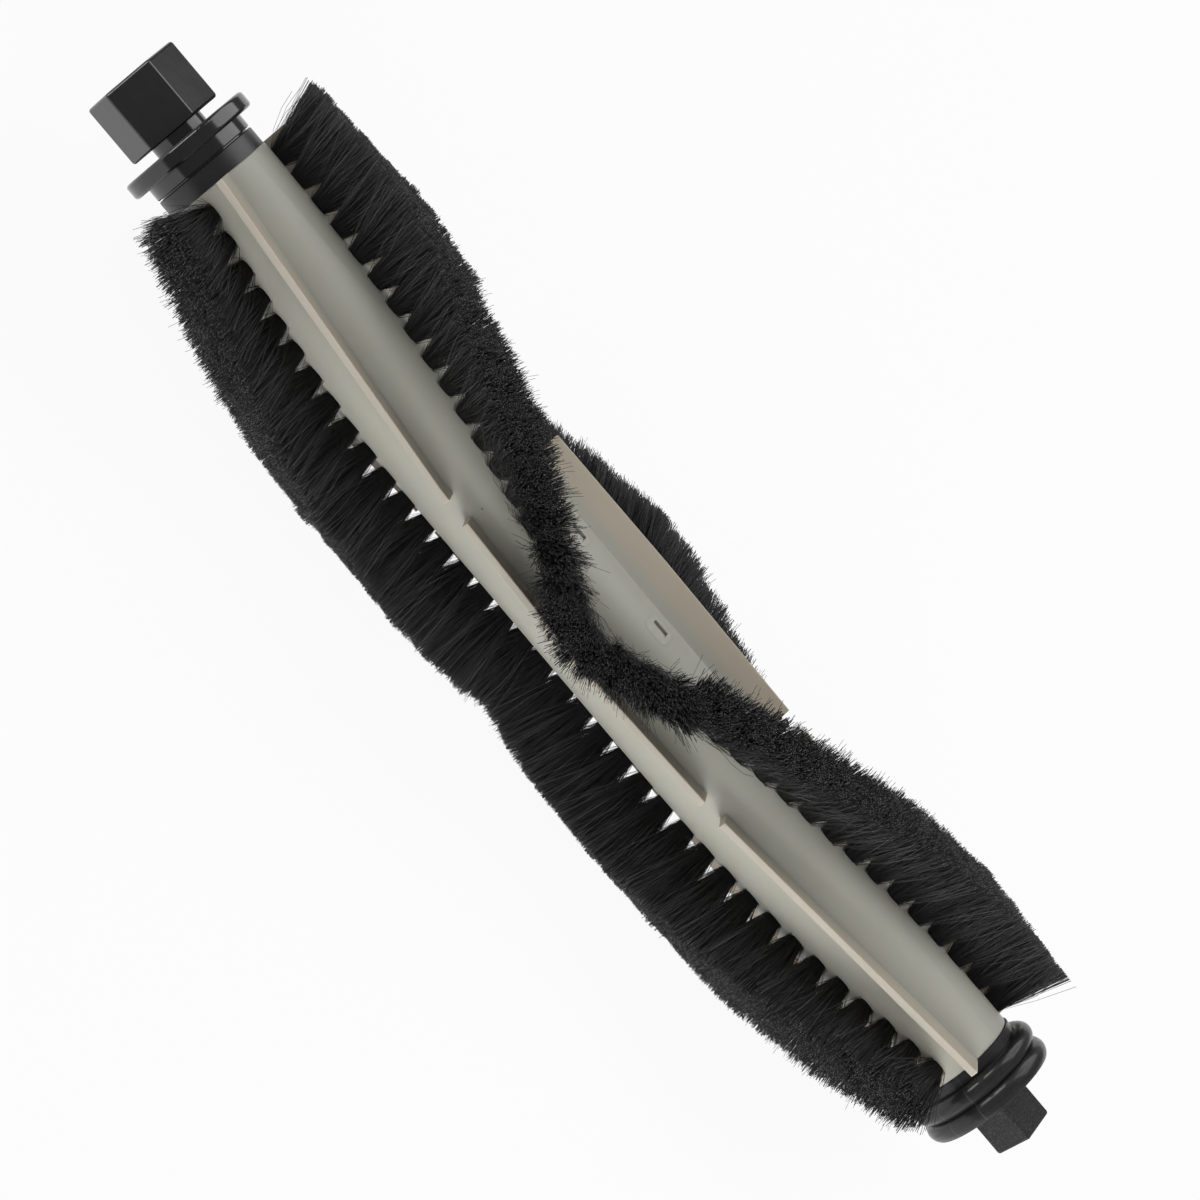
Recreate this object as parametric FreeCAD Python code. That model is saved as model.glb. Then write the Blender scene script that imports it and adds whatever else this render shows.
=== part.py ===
import FreeCAD
import Part
import math
import os

# Roller brush of a robot vacuum cleaner: a moulded core with three chevron rows of bristle tufts and
# three chevron rows of fins, a pressed-in drive cap with a square post at +X, and a bearing block that
# turns on a steel pin at -X. Millimetres and degrees. X is the roller's axis and +Z is up as it lies.
# Angles round the axis are counted from +Z towards -Y.

# Core
CORE_LENGTH = 149.3
CORE_RADIUS = 7.7
CORE_BORE_RADIUS = 1.9
CORE_EDGE_ROUND = 0.25
SOCKET_FLATS = 4.6
SOCKET_DEPTH = 10.0

# Bristle rows
ROW_COUNT = 3
ROW_SWEEP_ANGLE = 100.0
ROW_END_MARGIN = 2.5
TUFT_PITCH = 4.0
TUFT_LENGTH = 11.6
TUFT_HOLE_LENGTH = 2.6
TUFT_HOLE_WIDTH = 1.8
TUFT_HOLE_DEPTH = 3.8
TUFT_HOLE_CLEARANCE = 0.05
TUFT_TIP_GAP = 0.2
TUFT_TIP_WIDTH = 7.0
TUFT_MERGE_HEIGHT = 2.6
TUFT_CORNER_SHARE = 0.33
FLAT_SPOT_DEPTH = 0.35

# Tuft anchors
ANCHOR_THICKNESS = 0.3
ANCHOR_HEIGHT = 1.4
ANCHOR_BITE = 0.2

# Fins
FIN_HEIGHT = 4.6
FIN_ROOT_DEPTH = 2.2
FIN_TIP_THICKNESS = 1.0
FIN_ROOT_THICKNESS = 1.2
FIN_CREST_EDGE = 0.1
FIN_LEAN = 0.48
FIN_BEND_PLACE = 27.3
FIN_END_OFFSET = 3.65
FIN_BEND_OFFSET = -0.75
FIN_APEX_OFFSET = -1.65
FIN_GAP = 3.65
FIN_GAP_BEARING_PLACE = -23.45
FIN_GAP_DRIVE_PLACE = 27.1

# Locating pockets beside the chevron's point
POCKET_LENGTH = 2.45
POCKET_WIDTH = 1.5
POCKET_DEPTH = 0.35
POCKET_SLOT_WIDTH = 0.45
POCKET_SLOT_DEPTH = 1.6
POCKET_ANGLE = -9.0
POCKET_SPACING = 16.3
POCKET_SHIFT = -2.75

# Caps and their spigots
SPIGOT_CLEARANCE = 0.03
SPIGOT_END_ROOM = 0.5
DRIVE_COLLAR_LENGTH = 1.4
DRIVE_COLLAR_STEP = 0.2
RIDGE_HEIGHT = 1.75
RIDGE_WIDTH = 2.6
RIDGE_GROOVE_DEPTH = 0.85
POST_SIDE = 6.2
POST_LENGTH = 6.7
POST_EDGE_ROUND = 0.4
POST_TURN_ANGLE = -3.0
IDLE_COLLAR_LENGTH = 2.6
IDLE_COLLAR_STEP = 0.15
COLLAR_CHAMFER = 0.15

# Axle pin and thrust washer
PIN_RADIUS = 1.5
PIN_EMBED = 11.5
PIN_OVERHANG = 0.6
PIN_END_ROOM = 0.6
PIN_CHAMFER = 0.3
PRESS_CLEARANCE = 0.01
WASHER_WIDTH = 1.6
WASHER_THICKNESS = 0.5
WASHER_CLEARANCE = 0.1

# Bearing block and bush
RUN_GAP = 0.15
GUARD_LIP = 0.45
GUARD_LENGTH = 1.1
BUSH_CLEARANCE = 0.03
BUSH_WALL = 1.2
BUSH_LENGTH = 10.0
BLOCK_COLLAR_LENGTH = 1.85
FLANGE_LIP = 2.0
FLANGE_THICKNESS = 2.3
FLANGE_EDGE_ROUND = 0.5
NECK_RADIUS = 3.97
NECK_LENGTH = 1.35
HEX_FLATS = 12.1
HEX_LENGTH = 9.1
HEX_EDGE_ROUND = 0.45
HEX_TURN_ANGLE = 48.0

# Room for clean cuts, and the distance within which two places are the same
OVERLAP = 1.0
SAME_PLACE = 0.001

# Worked out from the sizes above
HALF_CORE = CORE_LENGTH / 2
TUFTS_PER_LIMB = math.floor((HALF_CORE - ROW_END_MARGIN + SAME_PLACE) / TUFT_PITCH)
SWEEP_STEP = ROW_SWEEP_ANGLE / TUFTS_PER_LIMB
ROW_STEP = 360.0 / ROW_COUNT
TUFT_TIP_RADIUS = CORE_RADIUS + TUFT_LENGTH
TUFT_TIP_LENGTH = TUFT_PITCH - TUFT_TIP_GAP
FLOOR_Z = FLAT_SPOT_DEPTH - TUFT_TIP_RADIUS
HOLE_FLOOR = CORE_RADIUS - TUFT_HOLE_DEPTH
FIN_TIP = CORE_RADIUS + FIN_HEIGHT
DRIVE_COLLAR_RADIUS = CORE_RADIUS + DRIVE_COLLAR_STEP
RIDGE_RADIUS = DRIVE_COLLAR_RADIUS + RIDGE_HEIGHT
IDLE_COLLAR_RADIUS = CORE_RADIUS - IDLE_COLLAR_STEP
IDLE_FACE = -HALF_CORE - IDLE_COLLAR_LENGTH
BLOCK_FACE = IDLE_FACE - RUN_GAP
GUARD_RADIUS = IDLE_COLLAR_RADIUS - GUARD_LIP - RUN_GAP
GUARD_FACE = BLOCK_FACE + GUARD_LENGTH
RECESS_FLOOR = GUARD_FACE + RUN_GAP + WASHER_THICKNESS
BUSH_BORE = PIN_RADIUS + BUSH_CLEARANCE
BUSH_RADIUS = BUSH_BORE + BUSH_WALL
RIDGES_END = HALF_CORE + DRIVE_COLLAR_LENGTH + 2 * RIDGE_WIDTH
POST_END = RIDGES_END + POST_LENGTH
SPIGOT_LENGTH = SOCKET_DEPTH - SPIGOT_END_ROOM

AXIS = FreeCAD.Vector(1, 0, 0)
CENTRE = FreeCAD.Vector(0, 0, 0)
UP = FreeCAD.Vector(0, 0, 1)


def vec(x, y, z):
    return FreeCAD.Vector(x, y, z)


def disc(radius, start, end):
    """A round bar on the axis between two places along X."""
    return Part.makeCylinder(radius, end - start, vec(start, 0, 0), AXIS)


def prism(sides, flats, start, end, turn=0.0):
    """A bar of regular section on the axis, with a flat facing the angle turn."""
    corner = flats / 2 / math.cos(math.pi / sides)
    points = []
    for side in range(sides + 1):
        angle = math.radians(turn) + (2 * side + 1) * math.pi / sides
        points.append(vec(start, -corner * math.sin(angle), corner * math.cos(angle)))
    return Part.Face(Part.makePolygon(points)).extrude(vec(end - start, 0, 0))


def long_edges(shape):
    """The straight edges of a bar that run along X."""
    edges = []
    for edge in shape.Edges:
        ends = [vertex.Point for vertex in edge.Vertexes]
        if len(ends) == 2 and ends[0].sub(ends[1]).cross(AXIS).Length < SAME_PLACE:
            edges.append(edge)
    return edges


def end_edges(shape, place):
    """The edges of a bar's end face at one place along X."""
    edges = []
    for edge in shape.Edges:
        reach = max(abs(edge.BoundBox.XMin - place), abs(edge.BoundBox.XMax - place))
        if reach < SAME_PLACE:
            edges.append(edge)
    return edges


def turned(shape, place, angle):
    """A copy of a shape that was drawn about +Z, moved along X and turned round the axis."""
    copy = shape.copy()
    copy.rotate(CENTRE, AXIS, angle)
    copy.translate(vec(place, 0, 0))
    return copy


def tuft_places():
    """For each row, its two limbs as lists of places along X and angles round the axis."""
    rows = []
    for row in range(ROW_COUNT):
        limbs = {"bearing": [], "drive": []}
        for step in range(-TUFTS_PER_LIMB, TUFTS_PER_LIMB + 1):
            angle = row * ROW_STEP + ROW_SWEEP_ANGLE / 2 - SWEEP_STEP * abs(step)
            limb = "bearing" if step < 0 else "drive"
            limbs[limb].append((step * TUFT_PITCH, angle))
        rows.append(limbs)
    return rows


def anchor():
    """One flat wire staple, across the foot of its tuft and biting into both sides of the hole."""
    width = TUFT_HOLE_WIDTH + 2 * ANCHOR_BITE
    corner = vec(-ANCHOR_THICKNESS / 2, -width / 2, HOLE_FLOOR)
    return Part.makeBox(ANCHOR_THICKNESS, width, ANCHOR_HEIGHT, corner)


def tuft_hole():
    """The oblong hole of one tuft, with the two nicks that its anchor cuts."""
    radius = TUFT_HOLE_WIDTH / 2
    straight = TUFT_HOLE_LENGTH - TUFT_HOLE_WIDTH
    depth = TUFT_HOLE_DEPTH + OVERLAP
    slot = Part.makeBox(straight, TUFT_HOLE_WIDTH, depth, vec(-straight / 2, -radius, HOLE_FLOOR))
    ends = [Part.makeCylinder(radius, depth, vec(side * straight / 2, 0, HOLE_FLOOR), UP) for side in (-1, 1)]
    return slot.fuse(ends + [anchor()]).removeSplitter()


def eight_sided(length, width, height):
    """Corners of a rectangle with cut corners, at one height along +Z."""
    cut = TUFT_CORNER_SHARE * min(TUFT_HOLE_LENGTH, TUFT_HOLE_WIDTH)
    a = length / 2
    b = width / 2
    corners = [(a, cut - b), (a, b - cut), (a - cut, b), (cut - a, b)]
    corners += [(-x, -y) for x, y in corners]
    return [vec(x, y, height) for x, y in corners]


def stacked(sections):
    """A flat-sided solid through a stack of like sections."""
    faces = []
    for lower, upper in zip(sections, sections[1:]):
        count = len(lower)
        for i in range(count):
            j = (i + 1) % count
            faces.append(Part.Face(Part.makePolygon([lower[i], lower[j], upper[j], upper[i], lower[i]])))
    for section in (sections[0], sections[-1]):
        faces.append(Part.Face(Part.makePolygon(section + section[:1])))
    solid = Part.Solid(Part.Shell(faces))
    if solid.Volume < 0:
        solid.reverse()
    return solid


def tuft():
    """One bundle of filaments: folded round its anchor, filling its hole, fanning out towards the next."""
    foot_length = TUFT_HOLE_LENGTH - 2 * TUFT_HOLE_CLEARANCE
    foot_width = TUFT_HOLE_WIDTH - 2 * TUFT_HOLE_CLEARANCE
    merge_width = foot_width + (TUFT_TIP_WIDTH - foot_width) * TUFT_MERGE_HEIGHT / TUFT_LENGTH
    bundle = stacked([
        eight_sided(foot_length, foot_width, HOLE_FLOOR),
        eight_sided(foot_length, foot_width, CORE_RADIUS),
        eight_sided(TUFT_TIP_LENGTH, merge_width, CORE_RADIUS + TUFT_MERGE_HEIGHT),
        eight_sided(TUFT_TIP_LENGTH, TUFT_TIP_WIDTH, TUFT_TIP_RADIUS),
    ])
    return bundle.cut(anchor())


def rested(bundle):
    """A bundle in its place, with what would pass the floor pressed flat."""
    if bundle.BoundBox.ZMin >= FLOOR_Z:
        return bundle
    reach = TUFT_TIP_RADIUS + TUFT_TIP_WIDTH
    box = bundle.BoundBox
    corner = vec(box.XMin - OVERLAP, -reach, FLOOR_Z - reach)
    return bundle.cut(Part.makeBox(box.XLength + 2 * OVERLAP, 2 * reach, reach, corner))


def fin_run(start, start_offset, end, end_offset):
    """A straight run of fin between two places, leaning a little from +Z, with a flat crest."""
    root = FIN_ROOT_THICKNESS / 2
    tip = FIN_TIP_THICKNESS / 2
    low = CORE_RADIUS - FIN_ROOT_DEPTH
    foot = -FIN_LEAN * (FIN_TIP - low) / FIN_HEIGHT
    edge = FIN_TIP - FIN_CREST_EDGE
    outline = [(foot - root, low), (foot + root, low), (tip, edge), (tip - FIN_CREST_EDGE, FIN_TIP)]
    outline += [(FIN_CREST_EDGE - tip, FIN_TIP), (-tip, edge), (foot - root, low)]
    points = [vec(start, start_offset + y, z) for y, z in outline]
    return Part.Face(Part.makePolygon(points)).extrude(vec(end - start, end_offset - start_offset, 0))


def fins():
    """The runs of one sector's chevron fin, with its point at mid-length and a gap in each limb."""
    gaps = []
    for place in (FIN_GAP_BEARING_PLACE, FIN_GAP_DRIVE_PLACE):
        corner = vec(place - FIN_GAP / 2, -FIN_TIP, 0)
        gaps.append(Part.makeBox(FIN_GAP, 2 * FIN_TIP, FIN_TIP + OVERLAP, corner))
    runs = []
    for side in (-1, 1):
        bend = side * FIN_BEND_PLACE
        runs.append(fin_run(0, FIN_APEX_OFFSET, bend, FIN_BEND_OFFSET))
        runs.append(fin_run(bend, FIN_BEND_OFFSET, side * HALF_CORE, FIN_END_OFFSET))
    return [piece for run in runs for piece in run.cut(gaps).Solids]


def pocket():
    """A shallow ramp in the core's skin that falls to a narrow slot."""
    half = POCKET_WIDTH / 2
    outline = [(-half, CORE_RADIUS), (half, CORE_RADIUS - POCKET_DEPTH), (half, CORE_RADIUS + OVERLAP)]
    outline += [(-half, CORE_RADIUS + OVERLAP), (-half, CORE_RADIUS)]
    face = Part.Face(Part.makePolygon([vec(-POCKET_LENGTH / 2, y, z) for y, z in outline]))
    corner = vec(-POCKET_LENGTH / 2, half - POCKET_SLOT_WIDTH, CORE_RADIUS - POCKET_SLOT_DEPTH)
    slot = Part.makeBox(POCKET_LENGTH, POCKET_SLOT_WIDTH, POCKET_SLOT_DEPTH + OVERLAP, corner)
    return face.extrude(vec(POCKET_LENGTH, 0, 0)).fuse(slot)


def roller_core():
    """The core moulding: a bored bar with fins, tuft holes, end sockets and two locating pockets."""
    bar = disc(CORE_RADIUS, -HALF_CORE, HALF_CORE)
    bar = bar.makeFillet(CORE_EDGE_ROUND, end_edges(bar, -HALF_CORE) + end_edges(bar, HALF_CORE))
    runs = []
    for row in range(ROW_COUNT):
        runs += [turned(run, 0, (row + 0.5) * ROW_STEP) for run in fins()]
    body = bar.fuse(runs)
    hole = tuft_hole()
    cuts = [disc(CORE_BORE_RADIUS, -HALF_CORE - OVERLAP, HALF_CORE + OVERLAP)]
    cuts.append(prism(6, SOCKET_FLATS, -HALF_CORE - OVERLAP, SOCKET_DEPTH - HALF_CORE))
    cuts.append(prism(6, SOCKET_FLATS, HALF_CORE - SOCKET_DEPTH, HALF_CORE + OVERLAP))
    for limbs in tuft_places():
        cuts += [turned(hole, place, angle) for place, angle in limbs["bearing"] + limbs["drive"]]
    for side in (-1, 1):
        cuts.append(turned(pocket(), POCKET_SHIFT + side * POCKET_SPACING / 2, POCKET_ANGLE))
    return body.cut(cuts)


def spigot(start, end):
    """The hexagonal spigot of a cap, in its socket."""
    return prism(6, SOCKET_FLATS - 2 * SPIGOT_CLEARANCE, start, end)


def drive_cap():
    """The driven end: spigot, collar, two round ridges with a groove between, and the square post."""
    collar_end = HALF_CORE + DRIVE_COLLAR_LENGTH
    groove = collar_end + RIDGE_WIDTH
    groove_radius = RIDGE_RADIUS - RIDGE_GROOVE_DEPTH
    shoulder = RIDGES_END - RIDGE_WIDTH / 2
    outer_radius = RIDGE_RADIUS - RIDGE_GROOVE_DEPTH / 2
    points = [
        vec(HALF_CORE, 0, 0),
        vec(HALF_CORE, 0, DRIVE_COLLAR_RADIUS),
        vec(collar_end, 0, DRIVE_COLLAR_RADIUS),
        vec(collar_end + RIDGE_WIDTH / 2, 0, RIDGE_RADIUS),
        vec(groove, 0, groove_radius),
        vec(shoulder, 0, RIDGE_RADIUS),
        vec(RIDGES_END, 0, outer_radius),
        vec(RIDGES_END, 0, 0),
    ]
    outline = [
        Part.LineSegment(points[0], points[1]),
        Part.LineSegment(points[1], points[2]),
        Part.Arc(points[2], points[3], points[4]),
        Part.Arc(points[4], points[5], points[6]),
        Part.LineSegment(points[6], points[7]),
        Part.LineSegment(points[7], points[0]),
    ]
    section = Part.Face(Part.Wire([curve.toShape() for curve in outline]))
    body = section.revolve(CENTRE, AXIS, 360)
    post = prism(4, POST_SIDE, RIDGES_END - OVERLAP, POST_END, POST_TURN_ANGLE)
    post = post.makeFillet(POST_EDGE_ROUND, long_edges(post) + end_edges(post, POST_END))
    return body.fuse([post, spigot(HALF_CORE - SPIGOT_LENGTH, HALF_CORE + DRIVE_COLLAR_LENGTH / 2)])


def idle_cap():
    """The plain end: spigot and collar, bored for the pin and recessed for the washer and the hair guard."""
    collar = disc(IDLE_COLLAR_RADIUS, IDLE_FACE, -HALF_CORE)
    collar = collar.makeChamfer(COLLAR_CHAMFER, end_edges(collar, IDLE_FACE))
    body = collar.fuse(spigot(-HALF_CORE - IDLE_COLLAR_LENGTH / 2, SPIGOT_LENGTH - HALF_CORE))
    recess = disc(GUARD_RADIUS + RUN_GAP, IDLE_FACE - OVERLAP, RECESS_FLOOR)
    bore = disc(PIN_RADIUS + PRESS_CLEARANCE, IDLE_FACE - OVERLAP, IDLE_FACE + PIN_EMBED)
    return body.cut([recess, bore])


def axle_pin():
    """The steel pin, pressed into the plain cap and standing out into the bush."""
    start = GUARD_FACE - BUSH_LENGTH - PIN_OVERHANG
    pin = disc(PIN_RADIUS, start, IDLE_FACE + PIN_EMBED)
    return pin.makeChamfer(PIN_CHAMFER, end_edges(pin, start))


def thrust_washer():
    """The plain washer on the pin, at the bottom of the cap's recess."""
    ring = disc(PIN_RADIUS + WASHER_WIDTH, RECESS_FLOOR - WASHER_THICKNESS, RECESS_FLOOR)
    return ring.cut(disc(PIN_RADIUS + WASHER_CLEARANCE, IDLE_FACE, RECESS_FLOOR + OVERLAP))


def bearing_bush():
    """The sintered bush that runs on the pin."""
    ring = disc(BUSH_RADIUS, GUARD_FACE - BUSH_LENGTH, GUARD_FACE)
    return ring.cut(disc(BUSH_BORE, GUARD_FACE - BUSH_LENGTH - OVERLAP, GUARD_FACE + OVERLAP))


def bearing_block():
    """The standing end: hexagonal block, neck, flange, collar and hair guard, bored blind for the bush."""
    flange_end = BLOCK_FACE - BLOCK_COLLAR_LENGTH
    neck_end = flange_end - FLANGE_THICKNESS
    hex_end = neck_end - NECK_LENGTH
    block_end = hex_end - HEX_LENGTH
    flange = disc(IDLE_COLLAR_RADIUS + FLANGE_LIP, neck_end, flange_end)
    flange = flange.makeFillet(FLANGE_EDGE_ROUND, end_edges(flange, neck_end) + end_edges(flange, flange_end))
    block = prism(6, HEX_FLATS, block_end, hex_end, HEX_TURN_ANGLE)
    block = block.makeFillet(HEX_EDGE_ROUND, block.Edges)
    collar = disc(IDLE_COLLAR_RADIUS, flange_end - FLANGE_THICKNESS / 2, BLOCK_FACE)
    collar = collar.makeChamfer(COLLAR_CHAMFER, end_edges(collar, BLOCK_FACE))
    neck = disc(NECK_RADIUS, hex_end - HEX_LENGTH / 2, flange_end - FLANGE_THICKNESS / 2)
    guard = disc(GUARD_RADIUS, BLOCK_FACE - BLOCK_COLLAR_LENGTH / 2, GUARD_FACE)
    bore = disc(BUSH_RADIUS + PRESS_CLEARANCE, GUARD_FACE - BUSH_LENGTH, GUARD_FACE + OVERLAP)
    room = disc(BUSH_BORE, GUARD_FACE - BUSH_LENGTH - PIN_OVERHANG - PIN_END_ROOM, GUARD_FACE)
    return block.fuse([neck, flange, collar, guard]).cut([bore, room])


def export(node, solids):
    """Writes one node, with the frame's origin moved to the end of the square post."""
    shape = solids[0] if len(solids) == 1 else Part.makeCompound(solids)
    placed = shape.copy()
    placed.translate(vec(-POST_END, 0, 0))
    placed.exportStep(f"parts/{node}.step")


os.makedirs("parts", exist_ok=True)
export("roller_core", [roller_core()])
export("drive_end_cap", [drive_cap()])
export("idle_end_cap", [idle_cap()])
export("axle_pin", [axle_pin()])
export("thrust_washer", [thrust_washer()])
export("bearing_bush", [bearing_bush()])
export("bearing_block", [bearing_block()])

tuft_shape = tuft()
anchor_shape = anchor()
for number, limbs in enumerate(tuft_places(), 1):
    for limb, places in limbs.items():
        export(f"bristles_row_{number}_{limb}_limb", [rested(turned(tuft_shape, *place)) for place in places])
        export(f"anchors_row_{number}_{limb}_limb", [turned(anchor_shape, *place) for place in places])
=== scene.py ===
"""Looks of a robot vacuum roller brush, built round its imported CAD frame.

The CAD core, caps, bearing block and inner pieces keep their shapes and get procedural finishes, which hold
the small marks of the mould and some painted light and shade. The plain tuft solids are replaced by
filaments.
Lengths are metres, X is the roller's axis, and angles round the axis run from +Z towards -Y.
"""

import logging
import math
import random
from dataclasses import dataclass, field
from enum import Enum
from itertools import islice
from typing import Any

import bmesh
import bpy
from mathutils import Matrix, Vector

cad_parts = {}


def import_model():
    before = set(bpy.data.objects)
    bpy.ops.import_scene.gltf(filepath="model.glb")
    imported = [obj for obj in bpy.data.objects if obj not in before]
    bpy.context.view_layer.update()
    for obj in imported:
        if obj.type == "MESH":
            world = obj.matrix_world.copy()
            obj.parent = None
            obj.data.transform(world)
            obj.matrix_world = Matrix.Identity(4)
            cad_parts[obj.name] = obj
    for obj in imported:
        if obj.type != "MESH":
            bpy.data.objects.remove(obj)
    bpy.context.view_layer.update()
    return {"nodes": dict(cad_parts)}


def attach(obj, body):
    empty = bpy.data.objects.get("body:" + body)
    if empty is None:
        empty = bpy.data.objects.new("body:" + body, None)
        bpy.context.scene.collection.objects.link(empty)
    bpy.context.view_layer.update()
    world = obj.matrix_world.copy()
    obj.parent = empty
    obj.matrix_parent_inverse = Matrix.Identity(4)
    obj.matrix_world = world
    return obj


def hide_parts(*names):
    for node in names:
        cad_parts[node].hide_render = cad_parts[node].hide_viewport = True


LOG = logging.getLogger("roller_brush")
MM = 0.001
AXIS = Vector((1.0, 0.0, 0.0))
MID_CORE = Vector((-87.95 * MM, 0.0, 0.0))
FLOOR_Z = -18.95 * MM
SECTOR_COS = 0.5
SECTOR_SIN = math.sqrt(0.75)
Colour = tuple[float, float, float]


class Body(Enum):
    """The CAD body that the added pieces ride on."""

    ROLLER = "roller"


class Slot(Enum):
    """A material slot name for the added pieces, which nothing in this script uses."""

    BRISTLE = "bristle_nylon"


class Limb(Enum):
    """The two halves of a chevron row, by the sign of their side along X."""

    BEARING = -1
    DRIVE = 1

    @property
    def word(self) -> str:
        """The limb's word in node names."""
        return self.name.lower()


class Lay(Enum):
    """How a kind of filament lies in its tuft."""

    HEART = "heart"
    BENT = "bent"
    PACKED = "packed"
    STRAY = "stray"
    WISP = "wisp"


class Value:
    """A node's output socket that takes part in number expressions."""

    def __init__(self, graph: "Graph", socket: bpy.types.NodeSocket) -> None:
        """Wraps one socket.

        Args:
            graph: The graph that the socket's node belongs to.
            socket: The output socket.
        """
        self.graph = graph
        self.socket = socket

    def __add__(self, other: Any) -> "Value":
        """Sum."""
        return self.graph.maths("ADD", self, other)

    def __radd__(self, other: Any) -> "Value":
        """Reflected sum."""
        return self.graph.maths("ADD", other, self)

    def __sub__(self, other: Any) -> "Value":
        """Difference."""
        return self.graph.maths("SUBTRACT", self, other)

    def __rsub__(self, other: Any) -> "Value":
        """Reflected difference."""
        return self.graph.maths("SUBTRACT", other, self)

    def __mul__(self, other: Any) -> "Value":
        """Product."""
        return self.graph.maths("MULTIPLY", self, other)

    def __rmul__(self, other: Any) -> "Value":
        """Reflected product."""
        return self.graph.maths("MULTIPLY", other, self)

    def __truediv__(self, other: Any) -> "Value":
        """Quotient."""
        return self.graph.maths("DIVIDE", self, other)

    def __rtruediv__(self, other: Any) -> "Value":
        """Reflected quotient."""
        return self.graph.maths("DIVIDE", other, self)

    def __pow__(self, other: Any) -> "Value":
        """Power."""
        return self.graph.maths("POWER", self, other)

    def __rpow__(self, other: Any) -> "Value":
        """Reflected power."""
        return self.graph.maths("POWER", other, self)


class Graph:
    """A node tree that is written as expressions."""

    def __init__(self, tree: bpy.types.NodeTree) -> None:
        """Empties a node tree.

        Args:
            tree: The tree of a material or of the world.
        """
        self.tree = tree
        tree.nodes.clear()

    def node(self, kind: str, settings: dict[str, Any] | None = None,
             inputs: dict[str | int, Any] | None = None, out: str | int = 0) -> Value:
        """Adds any node.

        Args:
            kind: The node's type.
            settings: Its properties, set first.
            inputs: Values or links of its sockets, by name or number.
            out: The output that is wanted.

        Returns:
            The wanted output.
        """
        made = self.tree.nodes.new(kind)
        for name, setting in (settings or {}).items():
            setattr(made, name, setting)
        for name, value in (inputs or {}).items():
            socket = made.inputs[name]
            if isinstance(value, Value):
                self.tree.links.new(value.socket, socket)
            elif socket.type == "RGBA" and len(value) == 3:
                socket.default_value = (*value, 1.0)
            else:
                socket.default_value = value
        return Value(self, made.outputs[out] if len(made.outputs) else None)

    def maths(self, operation: str, *terms: Any) -> Value:
        """Adds one Math node.

        Args:
            operation: The node's operation.
            terms: Values or numbers, in the order of its sockets.

        Returns:
            The result.
        """
        return self.node("ShaderNodeMath", {"operation": operation}, dict(enumerate(terms)))

    def blend(self, share: Any, first: Any, second: Any, mode: str = "MIX") -> Value:
        """Mixes two colours by a share.

        Args:
            share: How much of the second colour, from 0 to 1.
            first: A colour or a link.
            second: A colour or a link.
            mode: The blend type.

        Returns:
            The mixed colour.
        """
        return self.node("ShaderNodeMix", {"data_type": "RGBA", "blend_type": mode},
                         {0: share, 6: first, 7: second}, out=2)

    def step(self, value: Value, start: float, end: float) -> Value:
        """A smooth rise from 0 at start to 1 at end."""
        return self.node("ShaderNodeMapRange", {"interpolation_type": "SMOOTHSTEP"},
                         {"Value": value, "From Min": start, "From Max": end})

    def place(self) -> Value:
        """The point on the surface in Object coordinates."""
        return self.node("ShaderNodeTexCoord", out="Object")

    def parts(self, vector: Value) -> tuple[Value, Value, Value]:
        """The three components of a vector."""
        split = self.node("ShaderNodeSeparateXYZ", inputs={0: vector})
        outputs = split.socket.node.outputs
        return split, Value(self, outputs[1]), Value(self, outputs[2])

    def noise(self, vector: Value, scale: float, detail: float = 2.0, roughness: float = 0.5) -> Value:
        """Soft noise from 0 to 1.

        Args:
            vector: The coordinates.
            scale: Waves in each metre.
            detail: Octaves.
            roughness: Weight of the finer octaves.

        Returns:
            The noise's value.
        """
        return self.node("ShaderNodeTexNoise", inputs={"Vector": vector, "Scale": scale, "Detail": detail,
                                                       "Roughness": roughness})

    def stretched(self, vector: Value, scale: Colour) -> Value:
        """Coordinates scaled along each axis, for drawn-out patterns."""
        return self.node("ShaderNodeMapping", inputs={"Vector": vector, "Scale": scale})

    def bump(self, height: Value, depth: float) -> Value:
        """A normal from a height.

        Args:
            height: The height, from 0 to 1.
            depth: What a height of 1 measures, in metres.

        Returns:
            The normal.
        """
        return self.node("ShaderNodeBump", inputs={"Height": height, "Distance": depth, "Strength": 1.0})

    def radius(self, y: Value, z: Value) -> Value:
        """Distance from the roller's axis."""
        return (y * y + z * z) ** 0.5


@dataclass(frozen=True)
class Finish:
    """What all finishes share: a name and the constants of the shader."""

    name: str
    constants: tuple[tuple[str, Any], ...] = ()

    def material(self) -> bpy.types.Material:
        """Makes the material.

        Returns:
            A material whose varying sockets come from the finish's own nodes.
        """
        material = bpy.data.materials.new(self.name)
        material.use_nodes = True
        graph = Graph(material.node_tree)
        inputs = {**dict(self.constants), **self.surface(graph)}
        shader = graph.node("ShaderNodeBsdfPrincipled", inputs=inputs)
        graph.node("ShaderNodeOutputMaterial", inputs={"Surface": shader})
        return material

    def surface(self, graph: Graph) -> dict[str, Value]:
        """The varying sockets of the shader."""
        raise NotImplementedError


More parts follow.
